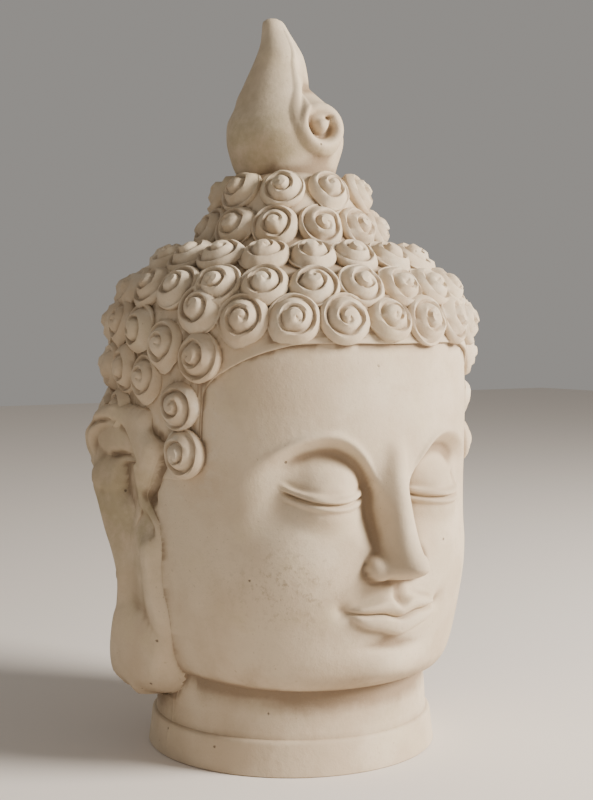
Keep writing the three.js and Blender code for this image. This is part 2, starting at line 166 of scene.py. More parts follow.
brow = dict(peakSide=37, rise=13, innerDrop=27, innerReach=29, outerDrop=15, outerReach=30, edge=1.3)
eyes = dict(lidsDrop=10.5, sag=3.0, outerLift=1.4,  # the line in which the lids meet
            socket=-7.5, ball=8.6, ballSide=23.5, ballHeight=19, slit=-2.0)
lips = dict(half=27.0, cornerLift=3.0, wave=1.3, waveReach=5, bows=0.7, bowsSide=10,  # the line between them
            upperHeight=7.8, lowerHeight=9.2, upperStand=4.8, lowerStand=5.2, slit=-2.0)
nose = dict(tipRise=6.5, rootRise=10, stand=23, bridge=0.16, slim=5.6, widening=5.6,
            wingSide=10.4, wingDrop=1.4, wingWidth=7.6, wingHeight=6.8, wingStand=10)


def browLine(x):
    # the brow's arch: highest over the pupil, falling fast to the nose and slowly to the temple
    inner = brow["innerDrop"] * (np.clip(brow["peakSide"] - x, 0, None) / brow["innerReach"]) ** 2.1
    outer = brow["outerDrop"] * (np.clip(x - brow["peakSide"], 0, None) / brow["outerReach"]) ** 1.9
    return face["brow"] + brow["rise"] - inner - outer


def lidLine(x):
    # where the closed lids meet: the parabola sag u^2 + lift u, whose outer corner is a little higher
    u = (x - face["eyeWidth"]) / (face["eyeWidth"] / 2)
    return face["eye"] - eyes["lidsDrop"] + eyes["sag"] * u ** 2 + eyes["outerLift"] * u


def mouthLine(x):
    # where the lips meet: a parabola that rises to the corners, with a shallow wave on it in the middle
    lifted = face["mouth"] + lips["cornerLift"] * (x / lips["half"]) ** 2
    wave, bows = bell(x, lips["waveReach"]), bell(x - lips["bowsSide"], lips["waveReach"])
    return lifted - lips["wave"] * wave + lips["bows"] * bows


def noseRelief(x, z):
    # a ridge growing from the brow to a round tip, with a wing on each side and a nostril under it
    tip, root = face["noseBase"] + nose["tipRise"], face["brow"] + nose["rootRise"]
    bridge = nose["bridge"]
    growth = bridge * ease(root + 6, root - 8, z) + (1 - bridge) * share(root, tip, z) ** 1.35
    under = np.sqrt(1 - share(tip, tip - 8, z) ** 2)
    width = nose["slim"] + nose["widening"] * share(root, tip, z) ** 1.4
    ridge = nose["stand"] * growth * under * np.exp(-(x / width) ** 2.4)
    ball = 3.0 * bell(x, 7) * bell(z - tip, 6) * under
    beside, above = x - nose["wingSide"], z - tip + nose["wingDrop"]
    wing = nose["wingStand"] * dome(beside, above, nose["wingWidth"], nose["wingHeight"]) ** 0.8
    crease = -0.8 * bell(np.hypot(beside, above) - 8, 1.4) * ease(9, 14, x)
    nostril = -3.5 * bell(x - 6.5, 2.8) * bell(z - tip + 6.2, 1.8)
    return softMax(ridge + ball, wing, 4) - 2 + nostril + crease


def eyeRelief(x, z):
    # a socket under the brow's edge, filled by the ball of the eye under lids that meet in a line
    below = browLine(x) - z
    reach = (1 - ease(46, 72, x)) * ease(4, 13, x)
    socket = eyes["socket"] * ease(0, 9, below) * (1 - ease(20, 48, below)) * reach
    corner = -3.0 * bell(x - 15.5, 6) * bell(z - face["eye"] + 3, 11)
    beside, above = (x - face["eyeWidth"]) / eyes["ballSide"], (z - face["eye"] + 6) / eyes["ballHeight"]
    ball = eyes["ball"] * (1 - ease(0.15, 1.12, np.hypot(beside, above)))
    edge = brow["edge"] * bell(below + 0.4, 2.1) * ease(8, 18, x) * (1 - ease(46, 72, x))
    over = z - lidLine(x)
    span = ease(14.5, 18.5, x) * (1 - ease(52, 58, x))
    upper = 1.5 * ease(0.0, 0.9, over) * (1 - ease(2.4, 4.4, over)) - 0.5 * bell(over - 5.2, 1.1)
    slit = eyes["slit"] * bell(over + 0.3, 0.75)
    lower = 0.9 * bell(over + 2.6, 1.3) - 0.5 * bell(over + 5.0, 1.2)
    return socket + corner + ball + edge + span * (upper + slit + lower)


def mouthRelief(x, z):
    # two full lips that narrow as 1 - (x / half)^2 and meet in a wave, on a soft mound, with a hollow and a
    # round chin under them
    part = mouthLine(x)
    taper = np.clip(1 - (x / lips["half"]) ** 2, 0, 1)
    corner = 1 - ease(21, 27, x)
    top = lips["upperHeight"] * taper ** 0.75 + 1.2 * bell(x - 6, 4) - 1.3 * bell(x, 2.6)
    bottom = lips["lowerHeight"] * taper ** 0.6
    up, down = (z - part) / np.maximum(top, 0.8), (part - z) / np.maximum(bottom, 0.8)
    roll = (1 - ease(0.78, 1.15, up)) * (0.55 + 0.45 * ease(0, 0.6, up))
    upper = lips["upperStand"] * taper ** 0.6 * np.where(z >= part, roll, 0)
    arch = np.sqrt(np.clip(1 - (down - 0.45) ** 2 / 0.55 ** 2, 0, 1))
    full = 0.45 * (1 - ease(0.85, 1.12, down)) + 0.55 * arch
    lower = lips["lowerStand"] * taper ** 0.6 * np.where(z < part, full, 0)
    rim = 0.8 * bell(up - 1.1, 0.16) * taper ** 0.5
    slit = lips["slit"] * bell(z - part, 1.0) * (1 - ease(22, 29, x))
    dimple = -2.4 * bell(x - 29, 3.8) * bell(z - part - 0.5, 4)
    mound = 4.4 * bell(x, 33) * bell(z - face["mouth"] - 3, 22)
    under = bell(z - face["noseBase"] + 7, 5.5)
    philtrum = (0.6 * bell(x - 4.6, 2) - 1.3 * bell(x, 2.8)) * under
    hollow = -2.8 * bell(x, 18) * bell(z - face["mouth"] + 16, 4.8)
    chin = 5.4 * bell(x, 18) * bell(z - face["chin"] - 11, 11)
    return corner * (upper + lower + rim) + slit + dimple + mound + philtrum + hollow + chin


def faceRelief(turn, height):
    # the sum of nose, eyes, mouth and cheeks, faded out before the temples and under the jaw
    x = np.abs(skullPoint(turn, height)[..., 0])
    cheek = 4.0 * bell(x - 47, 25) * bell(height - face["noseBase"] - 4, 27)
    forehead = 1.5 * bell(x, 50) * bell(height - face["hairline"] + 30, 30)
    fade = ease(0.15, 0.4, np.cos(turn)) * ease(44, 54, height)
    return fade * (cheek + forehead + noseRelief(x, height) + eyeRelief(x, height) + mouthRelief(x, height))


ear = dict(proudBack=15.0, proudFront=6.0,  # how far its rim stands out of the head
           thick=24.0, round=7.0, columns=68, low=31.6, high=190.0,
           swell=2.6, swellReach=9, groove=4.5)  # the cheek before it
# height, front edge, back edge, how far the front and the back stand from the middle of the head
earRows = [(31.6, 8, 24, 84, 88.5), (32.8, 1, 33, 84, 91.5), (35, -4, 38, 84.5, 93.5),
           (39, -8, 41, 85, 94.5), (44, -11.5, 42, 86, 95), (50, -14, 41, 87, 95.5),
           (58, -16.5, 38.5, 88, 96),
           (69, -18.5, 33.5, 89.5, 96.8), (82, -18.5, 28.5, 91, 98), (96, -17.7, 25.5, 92, 99.5),
           (108, -17.7, 28, 93, 100.5), (118, -17.7, 33, 94, 101), (127, -15, 37, 94.5, 101.5),
           (134, -9, 40, 95, 102), (141, -4, 44, 95.5, 102.5), (148, -8, 45.5, 96, 103),
           (156, -14, 50, 97, 103.5),
           (163, -18.5, 53, 97.5, 104), (170, -18.5, 53.5, 98, 104), (175, -13, 51.5, 98, 104),
           (180, -12.4, 45.5, 98, 104), (184, -12.2, 41, 97.5, 103.5), (187, -8, 37, 97, 103),
           (190, 12, 25, 93, 97)]


def byEar(turn, height):
    # before the ear's front edge the cheek swells to meet the lobe, as swell (1 - d / reach)^2 at a distance
    # d from it, and higher up a groove follows the rim
    y = skullPoint(turn, height)[..., 1]
    front = along(earRows, height)[0]
    near = 1 - share(0, ear["swellReach"], front + 3 - y)
    swell = ear["swell"] * near ** 2 * ease(34, 46, height) * (1 - ease(120, 138, height))
    groove = ear["groove"] * bell(y - front + 3, 3.2) * ease(134, 142, height) * (1 - ease(168, 178, height))
    return (y < 20) * ease(-60, -40, y) * (swell - groove)


def makeSkull():
    # the skull's sections with the face's relief; the rows bend with the lids and the lips, and stand close
    # where the face is finest
    turn = np.radians(runs((-62, -38, 18), (-38, 38, 106), (38, 62, 18), (62, 104, 29), (104, 256, 14),
                           (256, 298, 29)))
    heights = np.append(runs((44, 56, 10), (56, 74, 12), (74, 81, 9), (81, 89, 15), (89, 98, 10),
                             (98, 113, 18), (113, 137, 16), (137, 147, 22), (147, 180, 26),
                             (180, 226, 16)), 228)
    t, z = np.meshgrid(turn, heights)
    x = np.minimum(np.abs(skullPoint(t, z)[..., 0]), 62)
    front = ease(0.2, 0.5, np.cos(t))
    lidsRise = lidLine(np.maximum(x, 14)) - lidLine(face["eyeWidth"])
    z = z + front * bell(z - face["eye"] + eyes["lidsDrop"], 9) * lidsRise
    z = z + front * bell(z - face["mouth"], 8) * (mouthLine(np.minimum(x, 30)) - face["mouth"])
    grid = skullPoint(t, z, faceRelief(t, z) + byEar(t, z))
    return grid, (0, 0, 44), (0, 0, 230)


hair = dict(
    thickness=2.6, thinner=0.62, crown=240,
    # turn from the face in degrees, and how high the hair's lower edge is there
    edge=[(0, 220), (30, 220), (39, 216.8), (44, 214), (48, 211.2), (53, 206.8), (57, 202.5), (59.6, 197),
          (60.8, 190), (61.1, 178), (61.5, 167), (62.6, 159), (65.5, 154), (70, 151.5), (80, 150), (88, 138),
          (100, 92), (108, 66), (116, 60), (150, 60), (180, 60)],
)


def hairEdge(turn):
    # the hair's lower edge: level over the brow, down the temple, before the ear, and low behind it
    a = np.abs(np.degrees(np.arctan2(np.sin(turn), np.cos(turn))))
    return along(hair["edge"], a)[0]


def makeHairCap():
    # the skull's own surface a hair's thickness out, from the edge to the topknot, thinner at the temples
    turn = np.radians(runs((-180, -98, 24), (-98, -66, 26), (-66, -50, 20), (-50, 50, 40), (50, 66, 20),
                           (66, 98, 26), (98, 180, 24)))
    top, crown = skull["rows"][-1][0], hair["crown"]
    edge = hairEdge(turn)
    steps = np.concatenate([[0, 0.01, 0.03, 0.07], np.linspace(0.14, 1, 24)])[:, None]
    heights = np.concatenate([edge + (crown - edge) * steps, np.linspace(243, top, 34)[:, None] + 0 * edge])
    away = np.abs(np.degrees(turn))
    temple = ease(38, 50, away) * (1 - ease(80, 92, away)) * (1 - ease(0.15, 0.6, 1 - steps[::-1]))
    out = np.full(heights.shape, hair["thickness"])
    out[:len(steps)] *= 1 - hair["thinner"] * temple
    out[:2] *= [[0.4], [0.85]]
    grid = skullPoint(turn + 0 * heights, heights, out + byEar(turn + 0 * heights, heights))
    inner = skullPoint(turn, edge, -6 + 0 * turn)
    return np.concatenate([inner[None], grid]), (0, 0, 200), (0, 0, top + 1)


curl = dict(radius=13.5, rise=11.0, sunk=3.5, groove=1.7, step=1.8,
            clear=34,  # two whose middles are this far apart can't touch
            frontRings=14, frontColumns=26, backRings=8, backColumns=18)

# how high, how many in a full ring, where one of them stands, its size, and a stretch left for the temples
crownRows = [(299, 9, 0, 0.93, None), (279.5, 12, -13, 0.95, None), (262, 18, -4, 1.0, None),
             (247, 22, -9, 0.98, None), (231.5, 24, -2, 1.02, (66, 115))]
# the rows behind the ears: how high, the first turn, how many on a side, and whether one is in the middle
backRows = [(207, 99, 6, False), (183.5, 103.5, 5, True), (160, 111, 5, False), (136.5, 118.5, 4, True),
            (113, 128, 4, False), (90, 128.5, 3, True), (68, 135, 3, False)]
# the curls round the temple, on each side: turn and height
templeCurls = [(61, 213.5), (75, 219), (89.5, 227), (105, 230), (84, 202), (68.5, 189), (67, 165)]


def curlPlaces():
    # every curl's turn, height and size, in the order in which the solid sets them
    places = []
    for height, count, start, size, gap in crownRows:
        for i in range(count):
            angle = start + 360 * i / count
            away = abs((angle + 180) % 360 - 180)
            lifted = 5 * math.exp(-((away - 62) / 6) ** 2) if gap else 0
            fuller = 1 + 0.03 * (1 - math.cos(math.radians(away)))
            if not (gap and gap[0] < away < gap[1]):
                places.append((angle, height + lifted, size * fuller))
    for side in (-1, 1):
        places += [(side * turn, height, 0.98) for turn, height in templeCurls]
        for height, first, aSide, middle in backRows:
            pitch = (180 - first) / (aSide if middle else aSide - 0.5)
            places += [(side * (first + i * pitch), height, 1.02) for i in range(aSide)]
    return places + [(180, height, 1.02) for height, _, _, middle in backRows if middle]


def curlShell(radius, tail, rings, columns):
    # a snail shell of two turns: the groove's line lies at 0.2 + 0.29 w + 0.06 w^2 of the radius after w
    # turns. From each groove the coil rises fast to a narrow crest and falls away outwards, so every turn
    # stands lower than the one inside it
    t = np.linspace(0, 1, columns, endpoint=False)[None, :]
    r = np.concatenate([[1, 0.985, 0.945], np.linspace(0.89, 0.06, rings - 3)])[:, None]
    outline = radius * (0.95 + 0.09 * t * (1 - ease(0.9, 1, t)) + tail * bell(t - 0.93, 0.05))
    wound = (np.sqrt(0.29 ** 2 + 0.24 * np.clip(r - 0.2, 0, None)) - 0.29) / 0.12 - t
    part = wound - np.floor(wound)
    begun = np.where(wound < 1, ease(0, 0.16, t), 1)
    coil = (wound > 0) * begun
    outer = np.maximum(bell(wound - 1, 0.16), bell(wound - 2, 0.14))
    groove = np.maximum(bell(wound, 0.17) * ease(0, 0.16, t), outer)
    step = (np.floor(wound) + ease(0.4, 1.0, part) + t) * ease(0.12, 0.34, r)
    crest = 0.6 * bell(part - 0.32, 0.16) * coil
    rim = np.sqrt(np.clip(1 - share(0.84, 1, r) ** 2, 0, 1))
    boss = 1.0 * np.sqrt(np.clip(1 - (r / 0.3) ** 2, 0, 1))
    crown = curl["rise"] - 1.0 - curl["step"] * step + crest + boss - curl["groove"] * groove - 2.4 * r ** 2
    height = (crown - 2.6) * rim + 2.6
    turned = 2 * math.pi * t
    top = np.stack([outline * r * np.cos(turned), outline * r * np.sin(turned), height + 0 * t], -1)
    foot = top[:1] * [0.86, 0.86, 0] + [0, 0, -curl["sunk"]]
    return np.concatenate([foot, top])


def curlFrame(turn, height):
    # where a curl stands on the skull, and its axes: round the head, up it, and straight out
    def at(t, z):
        return skullPoint(np.array(float(t)), np.array(float(z)))
    here = at(turn, height)
    around = unitRows(at(turn + 0.02, height) - at(turn - 0.02, height))
    up = unitRows(at(turn, height + 1) - at(turn, height - 1))
    out = unitRows(np.cross(around, up))
    return here, around, np.cross(out, around), out


def makeCurls():
    # the curls in groups in which no two touch, so that each group joins the head as clean solids
    rng = np.random.default_rng(11)
    shells, centres = [], []
    for i, (turn, height, size) in enumerate(curlPlaces()):
        here, around, up, out = curlFrame(math.radians(turn), height)
        fine = -106 < (turn + 180) % 360 - 180 < 56 and height > 150
        kind = "front" if fine else "back"
        rings, columns = curl[kind + "Rings"], curl[kind + "Columns"]
        radius, tail = curl["radius"] * size * rng.uniform(0.97, 1.03), rng.uniform(0.02, 0.12)
        grid = curlShell(radius, tail, rings, columns)
        grid = np.concatenate([grid.reshape(-1, 3), [[0, 0, -curl["sunk"]], [0, 0, curl["rise"]]]])
        spin, lean = rng.uniform(0, 2 * math.pi), rng.normal(0, 0.05, 2)
        tilted = unitRows(out + lean[0] * around + lean[1] * up)
        across = unitRows(math.cos(spin) * around + math.sin(spin) * up)
        across = unitRows(across - tilted * (across @ tilted))
        wound = -1 if i % 3 == 0 else 1
        placed = grid @ np.stack([across, wound * np.cross(tilted, across), tilted]) + here
        shell = placed[:-2].reshape(rings + 1, columns, 3)
        shells.append((shell[:, ::wound], placed[-2], placed[-1]))
        centres.append(here)
    chosen = []
    for i, centre in enumerate(centres):
        near = [chosen[j] for j in range(i) if np.linalg.norm(centre - centres[j]) < curl["clear"]]
        chosen.append(next(g for g in range(99) if g not in near))
    return [[shells[i] for i in range(len(shells)) if chosen[i] == g] for g in range(max(chosen) + 1)]


base = dict(radius=79.5, bandHeight=18.0, step=2.0)  # the band round the foot
neck = dict(radius=73.5, height=62.0, columns=132, seam=0.5, seamTop=40)


def makeNeck():
    # a round column flaring to a low band: one profile turned round the axis, with a mould seam on each side
    lip = base["radius"] - 2.2
    profile = [(base["radius"] - 0.6, 0.0), (base["radius"], 0.6), (base["radius"] - 1, 8),
               (lip + 0.3, base["bandHeight"] - 1.8), (lip, base["bandHeight"] - 0.7),
               (lip - 0.8, base["bandHeight"]), (lip - base["step"], base["bandHeight"] + 0.4),
               (lip - base["step"] - 0.4, 22), (neck["radius"] + 0.9, 30), (neck["radius"] + 0.2, 38),
               (neck["radius"], 46), (neck["radius"], neck["height"])]
    reach, z = np.asarray(profile, float).T[..., None]
    seam = math.pi / 2 + np.array([-0.025, -0.01, 0, 0.01, 0.025])
    round = np.linspace(0.02, 2 * math.pi + 0.02, neck["columns"], endpoint=False)
    a = np.sort(np.concatenate([round, seam, seam + math.pi]))
    reach = reach + neck["seam"] * bell(np.abs(np.sin(a)) - 1, 0.00006) * (z > 1) * (z < neck["seamTop"])
    grid = np.stack([reach * np.sin(a), -reach * np.cos(a), z + 0 * a], -1)
    return grid, (0, 0, 0), (0, 0, neck["height"])


# how far back and how high: the groove under the rolled rim, and the crease in the shell
earFold = [(47, 158), (47.5, 167), (44.4, 175), (36, 178), (25.5, 179), (17, 178), (9.5, 175), (5, 171),
           (1.5, 166.5), (-0.5, 160)]
earCrease = [(26, 160.5), (14, 161.8), (-1.5, 160)]


def nearest(y, z, path):
    # the distance from each point to a smooth line through the path's points
    steps = np.linspace(0, len(path) - 1, 14 * len(path))
    lineY, lineZ = along([(i, *p) for i, p in enumerate(path)], steps)
    return np.sqrt(np.min((y[..., None] - lineY) ** 2 + (z[..., None] - lineZ) ** 2, axis=-1))


def earRelief(y, z, front, back):
    # the groove under the rolled rim, the sunk shell inside it and its crease, the hollow over the lobe, the
    # lobe's raised front strip and long channel, and its full lower end
    top = np.hypot((y - 23) / 24.5, (z - 160) / 18.5)
    inside = (1 - ease(0.82, 1.0, np.where(z > 160, top, np.abs(y - 23) / 24.5))) * ease(140, 166, z)
    shell = inside * (-5.0 + 2.4 * dome(y - 22, z - 169, 20, 9))
    fold = -3.4 * bell(nearest(y, z, earFold), 1.7)
    crease = -3.0 * bell(nearest(y, z, earCrease), 1.8)
    knob = 2.2 * dome(y - 27, z - 150, 14, 9)
    hollow = -7.0 * (1 - ease(13.5, 21, y)) * ease(-1, 7, y) * ease(131, 145, z) * (1 - ease(154, 159.5, z))
    between = -3.6 * bell(z - 0.3 * y - 131, 7) * (1 - ease(2, 14, y))
    strip = (1 - ease(front + 8, front + 17, y)) * ease(62, 104, z)
    strip = strip * (1 - ease(117.5, 121, z + 0.1 * (y + 14)))
    channel = -3.4 * bell(y - 10 - 0.08 * (z - 100), 10) * ease(60, 104, z) * (1 - ease(124, 142, z))
    behind = 1.4 * bell(back - y - 8, 4) * ease(84, 104, z) * (1 - ease(150, 160, z))
    bulb = 3.2 * dome(y - 12, z - 55, 26, 26)
    return shell + fold + crease + knob + hollow + between + 3.8 * strip + channel + behind + bulb


def makeEar(side):
    # level sections between the front and back edges: outside a face carved with the relief, which falls as
    # 1 - sqrt(1 - (1 - d / round)^2) at a distance d from the ear's outline, inside a flat back in the head
    u = (1 - np.cos(np.linspace(0, math.pi, ear["columns"]))) / 2
    under = np.concatenate([[1, 1], np.linspace(1, 0, 5), [0, 0]])
    heights = runs((35.8, 60, 13), (60, 124, 22), (124, 184, 42), (184, 189, 7))
    heights = np.concatenate([[31.65, 31.8, 32.1, 32.5, 33.1, 33.9, 34.8], heights, [189.0, 189.7]])
    front, back, standFront, standBack = (v[:, None] for v in along(earRows, heights))
    z = heights[:, None]
    y = back + (front - back) * u
    rim = np.linspace(ear["low"], ear["high"], 220)
    edgeFront, edgeBack = along(earRows, rim)[:2]
    outlineY, outlineZ = np.concatenate([edgeFront, edgeBack]), np.concatenate([rim, rim])
    edge = np.sqrt(np.min((y[..., None] - outlineY) ** 2 + (z[..., None] - outlineZ) ** 2, axis=-1))
    fall = 1 - np.sqrt(1 - (1 - share(0, ear["round"] + 3 * (1 - ease(40, 80, z)), edge)) ** 2)
    carved = earRelief(y, z + 0 * y, front, back) * ease(1, 5, edge)
    lobe = 1 - ease(44, 84, z)

    def proud(part):
        return ear["proudBack"] + (ear["proudFront"] - ear["proudBack"]) * part * (1 - lobe)

    def stand(part):
        return standBack + (standFront - standBack) * part

    outer = np.stack([stand(u) - proud(u) * fall + carved, y, z + 0 * y], -1)
    innerY = back + (front - back) * under
    depth = ear["thick"] * np.array([0.25, 0.6, *np.ones(5), 0.6, 0.25])
    inner = np.stack([stand(under) - proud(under) - depth, innerY, z + 0 * innerY], -1)
    grid = np.concatenate([outer, inner], 1) * [side, 1, 1]

    def pole(row, rimHeight):
        return (side * (row[3] - ear["proudFront"]), (row[1] + row[2]) / 2, rimHeight)
    grid = grid[:, ::-1] if side > 0 else grid
    return grid, pole(earRows[0], ear["low"]), pole(earRows[-1], ear["high"])


flame = dict(foot=304.0, rollRadius=13.5, rollSide=4.0, rollHeight=335.5, rollFront=-26.5, rollRound=5,
             turning=7,  # the point of the ridge from which it turns round the roll
             pits=((2.2, 379.5), (1.4, 373.5), (0.6, 368.5)),
             # heights, and how far in front the side before the ridge stands there
             slope=([332, 340, 347, 354, 361, 368, 376], [25.2, 22.6, 18.4, 13.6, 9.4, 5.8, 2.2]))
# height, how far back its middle is, radius
flameRows = [(304, 4, 24), (310, 5, 26.5), (317, 6.2, 29), (327, 6.1, 31.9), (333, 6.4, 32.3),
             (340, 7.6, 31.2), (344, 10.5, 27.9), (347.5, 13.4, 24.6), (350.3, 15.6, 22.4), (353, 18, 20.5),
             (356.2, 17.6, 19.5), (359, 16.4, 18.7), (367, 13.2, 16.9), (378, 11, 13.2), (385, 12.5, 10.2),
             (392, 15.9, 7.6), (396, 17.6, 6.4), (398.4, 18.8, 5.2), (399.5, 19.3, 3.2)]
# the ridge from the tip down the front and round the roll: sideways, up, how proud, half its width
ridge = [(2.6, 394, 0.3, 1.2), (2.0, 387, 0.5, 1.4), (1.4, 379, 0.7, 1.6), (-0.4, 367, 1.0, 1.9),
         (-2.4, 356.5, 1.5, 2.2), (-5.6, 349, 2.1, 2.6), (-8.2, 342.5, 2.6, 2.9), (-8.0, 335, 2.9, 3.1),
         (-4.6, 328.8, 3.2, 3.2), (1, 325.4, 3.5, 3.3), (7.4, 325, 3.7, 3.4), (12.8, 328.6, 3.8, 3.4),
         (15.0, 334.6, 3.6, 3.3), (13.2, 341, 2.8, 3.2), (8.4, 345.4, 1.6, 3.0), (2.6, 345.2, 0.7, 2.6),
         (-0.8, 342, 0.2, 2.2)]


def makeFlame():
    # level circles whose middles lean back to the tip. Before the ridge they are widened, so that their
    # fronts fall evenly while the outer side stays. The roll swells out of them, a disc with a rounded edge
    # and a hollow face, and the ridge and the roll's boss stand on it; beyond the ridge the flame is scooped
    a = np.radians(runs((-75, 75, 84), (75, 285, 30)))
    heights = runs((304, 320, 7), (320, 356, 36), (356, 396, 24))
    a, z = np.meshgrid(a, np.concatenate([heights, [396, 397.3, 398.4, 399.2, 399.7]]))
    middle, reach = along(flameRows, z)
    steps = np.linspace(0, len(ridge) - 1, 150)
    lineX, lineZ, proud, half = along([(i, *row) for i, row in enumerate(ridge)], steps)
    down = steps < flame["turning"]
    ridgeX = np.interp(z, lineZ[down][::-1], lineX[down][::-1])
    smooth = np.where(a < math.pi / 2, 1 - ease(-1, 10, reach * np.sin(a) - ridgeX), ease(2.6, 4.0, a))
    smooth = smooth * ease(332, 340, z) * (1 - ease(366, 376, z))
    slope = np.interp(z, *flame["slope"])
    eased = (reach + 0.55 * middle - slope) / 1.55
    middle, reach = middle + smooth * (eased - middle), reach + smooth * (eased + slope - reach)
    x, y = reach * np.sin(a), middle - reach * np.cos(a)
    away = np.hypot(x[..., None] - lineX, z[..., None] - lineZ)
    bead = np.max(proud * np.sqrt(np.clip(1 - (away / (1.5 * half)) ** 2, 0, 1)) ** 1.3, axis=-1)
    beyond = ease(-1.5, 2.5, x - ridgeX)
    scoop = ease(-1, 3, x - ridgeX) * bell(a - 0.42, 0.5) * ease(360, 368, z) * (1 - ease(380, 394, z))
    across, up = x - flame["rollSide"], z - flame["rollHeight"]
    q = np.hypot(across, up) / flame["rollRadius"]
    gentle = beyond * ease(0, 6, up)
    disc = flame["rollRound"] * (1 - np.sqrt(np.clip(1 - q ** 2, 0, 1)))
    fall = np.where(q < 1, disc, flame["rollRound"] + (70 - 44 * gentle) * (q - 1))
    swell = flame["rollFront"] + fall
    front = np.cos(a) > 0.15
    out = np.where(front, softMax(-y, -swell, 1.6), -y)
    shallow = 1 - 0.85 * bell(np.arctan2(up, across) - 1.1, 1.1)
    hollow = 4.4 * bell(np.hypot(across + 1.4, up - 0.6) - 6.2, 2.4) * shallow
    besideSlot, overSlot = across - 3.6, up - 5.2
    slot = 3.2 * bell(np.hypot((besideSlot + 0.5 * overSlot) / 2.2, overSlot - 0.3 * besideSlot), 1.0)
    boss = 2.2 * dome(across + 1.1, up - 0.7, 3.9, 3.9)
    pits = sum(1.2 * bell(np.hypot(x - side, z - height), 0.9) for side, height in flame["pits"])
    relief = bead + boss - slot - hollow - 3.2 * scoop - pits
    y = -(out + np.where(front, relief, 0))
    return np.stack([x, y, z], -1), (0, 4, flame["foot"] - 1), (0, 19.4, figureHeight)


def joined(first, others):
    # one solid from the first object and the rest, one join after another
    for other in others:
        join = first.modifiers.new("join", "BOOLEAN")
        join.operation = "UNION"
        join.solver = "MANIFOLD"
        join.object = other
        bpy.context.view_layer.update()
        made = bpy.data.meshes.new_from_object(first.evaluated_get(bpy.context.evaluated_depsgraph_get()))
        first.modifiers.clear()
        first.data = made
        bpy.data.objects.remove(other)
    return first


def makeCast():
    # the skull first, then every other form joined to it
    cast = meshOf("cast_head", [makeSkull()])
    print("skull and face:", len(cast.data.vertices), "points")
    forms = dict(hair=[makeHairCap()], neck=[makeNeck()], rightEar=[makeEar(-1)], leftEar=[makeEar(1)],
                 flame=[makeFlame()])
    forms.update({f"curls{i + 1}": group for i, group in enumerate(makeCurls())})
    parts = []
    for name, shells in forms.items():
        parts.append(meshOf(name, shells))
        print(name + ":", len(parts[-1].data.vertices), "points")
    return joined(cast, parts)


sharpAngle = math.radians(48)


def softenFace(mesh):
    # edges of more than the given angle stay sharp in the shading, but for those of the face
    mesh.set_sharp_from_angle(angle=sharpAngle)
    points = np.empty(len(mesh.vertices) * 3)
    mesh.vertices.foreach_get("co", points)
    ends = np.empty(len(mesh.edges) * 2, np.int32)
    mesh.edges.foreach_get("vertices", ends)
    x, y, z = points.reshape(-1, 3)[ends[::2]].T / unit
    if "sharp_edge" in mesh.attributes:
        sharp = np.empty(len(mesh.edges), bool)
        mesh.attributes["sharp_edge"].data.foreach_get("value", sharp)
        inFace = (np.abs(x) < 72) & (y < -40) & (z > 70) & (z < 205)  # within hair, ears and jaw
        mesh.attributes["sharp_edge"].data.foreach_set("value", sharp & ~inFace)


cast = makeCast()
cast.data.materials.clear()
softenFace(cast.data)
cast.data.calc_loop_triangles()
print("cast:", len(cast.data.vertices), "points,", len(cast.data.loop_triangles), "triangles")


def pointNormals(mesh):
    flat = np.empty(len(mesh.vertices) * 3)
    mesh.vertex_normals.foreach_get("vector", flat)
    return flat.reshape(-1, 3)


def addMasks(mesh):
    # what the painted shade and the dirt in crevices follow: how deep each point lies under its
    # surroundings, near by and far around, and how much it faces down; and soft spots of olive stain on ears
    # and flame, with painted shade under the flame's swell, of pale bloom, and of flecks on a cheek
    count = len(mesh.vertices)
    flat = np.empty(count * 3)
    mesh.vertices.foreach_get("co", flat)
    p = flat.reshape(-1, 3) / unit
    pairs = np.empty(len(mesh.edges) * 2, np.int32)
    mesh.edges.foreach_get("vertices", pairs)
    i, j = pairs.reshape(-1, 2).T
    i, j = np.concatenate([i, j]), np.concatenate([j, i])
    ties = np.bincount(i, minlength=count)

    def evened(values, times):
        for _ in range(times):
            mean = np.stack([np.bincount(i, values[j, k], count) for k in range(values.shape[1])], -1)
            values = 0.35 * values + 0.65 * mean / ties[:, None]
        return values

    normals = pointNormals(mesh)
    # painted shade with the dirt of the crevices: how far each point lies under its smoothed surroundings
    fine = np.sum((evened(p, 6) - p) * normals, axis=1)
    broad = np.sum((evened(p, 45) - p) * normals, axis=1)
    grooves, hollows = share(0.05, 0.9, fine)[:, None], share(0.3, 3.2, broad)[:, None]
    recess = evened(grooves, 1)[:, 0] * 0.6 + evened(hollows, 2)[:, 0]
    x, y, z = p.T
    sides = np.abs(x)
    # olive stain on the ears and on the figure's right side of the flame; the last term, on faces turned
    # down under the flame's swell, is painted shade
    olive = (1.0 * bell(z - 132, 36) * ease(84, 92, sides) * ease(-24, -6, y)
             + 1.0 * bell(z - 330, 22) * ease(2, -24, x) + 0.45 * bell(z - 372, 18) * ease(300, 318, z)
             + 0.7 * ease(0.0, -0.6, normals[:, 2]) * bell(z - 318, 12))
    bloom = bell(z - 176, 30) * bell(sides - 84, 14) * bell(y + 34, 22) + 0.4 * ease(205, 240, z) * (z < 300)
    flecks = bell(x + 52, 20) * bell(z - 102, 20) * (y < 0)
    # painted shade on faces turned down under the jaw and on the neck
    under = ease(0.1, -0.7, normals[:, 2]) * (z < 70)
    for name, values in dict(recess=recess, olive=olive, bloom=bloom, flecks=flecks, under=under).items():
        layer = mesh.attributes.new(name, "FLOAT", "POINT")
        layer.data.foreach_set("value", np.clip(values, 0, 1).astype(np.float32))
    print("masks:", len(mesh.attributes), "attributes")


